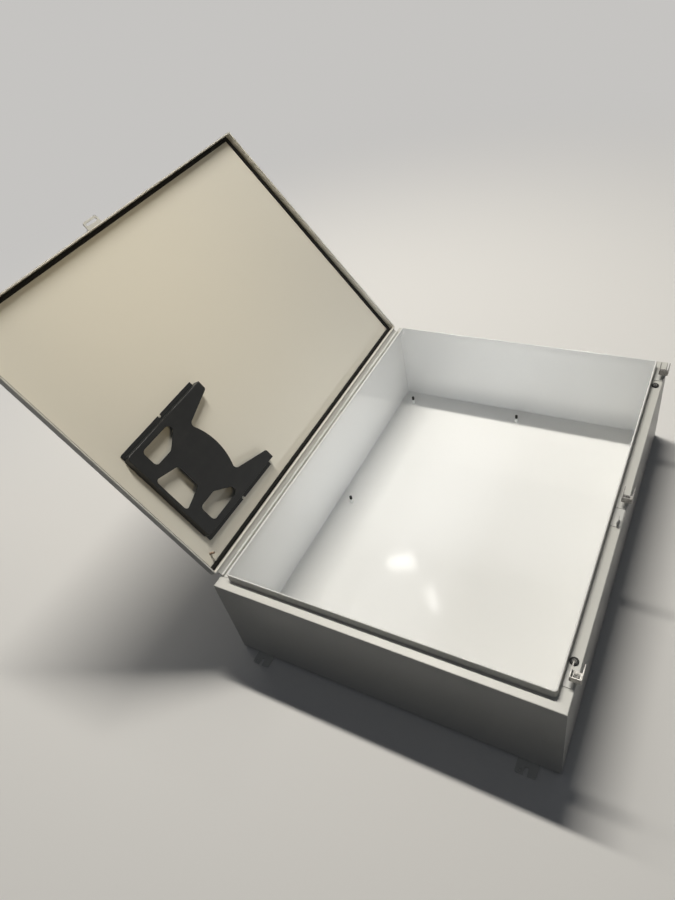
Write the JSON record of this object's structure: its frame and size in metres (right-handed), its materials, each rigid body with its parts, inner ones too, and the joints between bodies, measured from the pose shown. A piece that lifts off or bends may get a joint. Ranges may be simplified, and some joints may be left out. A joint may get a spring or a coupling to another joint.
{
  "type": "control panel enclosure",
  "caption": "Wall-mounting sheet steel cabinet with a gasketed door on a continuous hinge, screw clamps, padlock hasp and a moulded data pocket, lying on its back with the door open.",
  "frame": {"origin": "centre of the mounting plane that the four feet touch, midway between their slots", "axes": "+Z out of the front opening, +Y towards the top end, +X towards the latch side; the door's hinge runs along Y at the -X side"},
  "size_m": [1.4599, 1.2882, 1.0434],
  "materials": {
    "body_paint": "powder coat",
    "foot_paint": "powder coat",
    "door_paint": "powder coat",
    "hinge_paint": "powder coat",
    "fitting_paint": "powder coat",
    "pin_steel": "plain",
    "stud_steel": "zinc plated, painted collar",
    "ground_stud_steel": "zinc plated",
    "clamp_steel": "zinc plated",
    "screw_steel": "zinc plated",
    "gasket_foam": "foam",
    "bumper_rubber": "matte",
    "pocket_plastic": "fine grain",
    "tape_foam": "foam tape"
  },
  "bodies": {
    "enclosure": {"body_shell": "body_paint", "foot_near_hinge_side": "foot_paint", "foot_far_hinge_side": "foot_paint", "foot_near_latch_side": "foot_paint", "foot_far_latch_side": "foot_paint", "panel_studs": "stud_steel", "body_ground_stud": "ground_stud_steel", "hinge_body_leaf": "hinge_paint", "hinge_pin": "pin_steel", "padlock_staple": "fitting_paint", "door_bumpers": "bumper_rubber", "clamp_base_near": "fitting_paint", "clamp_base_middle": "fitting_paint", "clamp_base_far": "fitting_paint"},
    "door": {"door_panel": "door_paint", "door_gasket": "gasket_foam", "door_ground_stud": "ground_stud_steel", "hinge_door_leaf": "hinge_paint", "data_pocket": "pocket_plastic", "pocket_tape": "tape_foam", "padlock_hasp": "fitting_paint"},
    "near_clamp": {"clamp_arm_near": "clamp_steel", "clamp_washer_near": "screw_steel"},
    "near_clamp_screw": {"clamp_screw_near": "screw_steel"},
    "middle_clamp": {"clamp_arm_middle": "clamp_steel", "clamp_washer_middle": "screw_steel"},
    "middle_clamp_screw": {"clamp_screw_middle": "screw_steel"},
    "far_clamp": {"clamp_arm_far": "clamp_steel", "clamp_washer_far": "screw_steel"},
    "far_clamp_screw": {"clamp_screw_far": "screw_steel"}
  },
  "joints": [
    {"name": "door_hinge", "type": "hinge", "parent": "enclosure", "child": "door", "pos_m": [-0.45, 0, 0.31165], "axis": [0, 1, 0], "range_deg": [0, 126.2]},
    {"name": "near_clamp_swing", "type": "hinge", "parent": "enclosure", "child": "near_clamp", "pos_m": [0.4542, -0.5305, 0.3075], "axis": [0, 0, 1], "range_deg": [-90, 90]},
    {"name": "near_clamp_screw_turn", "type": "hinge", "parent": "enclosure", "child": "near_clamp_screw", "pos_m": [0.4542, -0.5305, 0.3075], "axis": [0, 0, 1], "continuous": true},
    {"name": "middle_clamp_swing", "type": "hinge", "parent": "enclosure", "child": "middle_clamp", "pos_m": [0.4542, -0.007, 0.3075], "axis": [0, 0, 1], "range_deg": [-90, 90]},
    {"name": "middle_clamp_screw_turn", "type": "hinge", "parent": "enclosure", "child": "middle_clamp_screw", "pos_m": [0.4542, -0.007, 0.3075], "axis": [0, 0, 1], "continuous": true},
    {"name": "far_clamp_swing", "type": "hinge", "parent": "enclosure", "child": "far_clamp", "pos_m": [0.4542, 0.5305, 0.3075], "axis": [0, 0, 1], "range_deg": [-90, 90]},
    {"name": "far_clamp_screw_turn", "type": "hinge", "parent": "enclosure", "child": "far_clamp_screw", "pos_m": [0.4542, 0.5305, 0.3075], "axis": [0, 0, 1], "continuous": true}
  ]
}
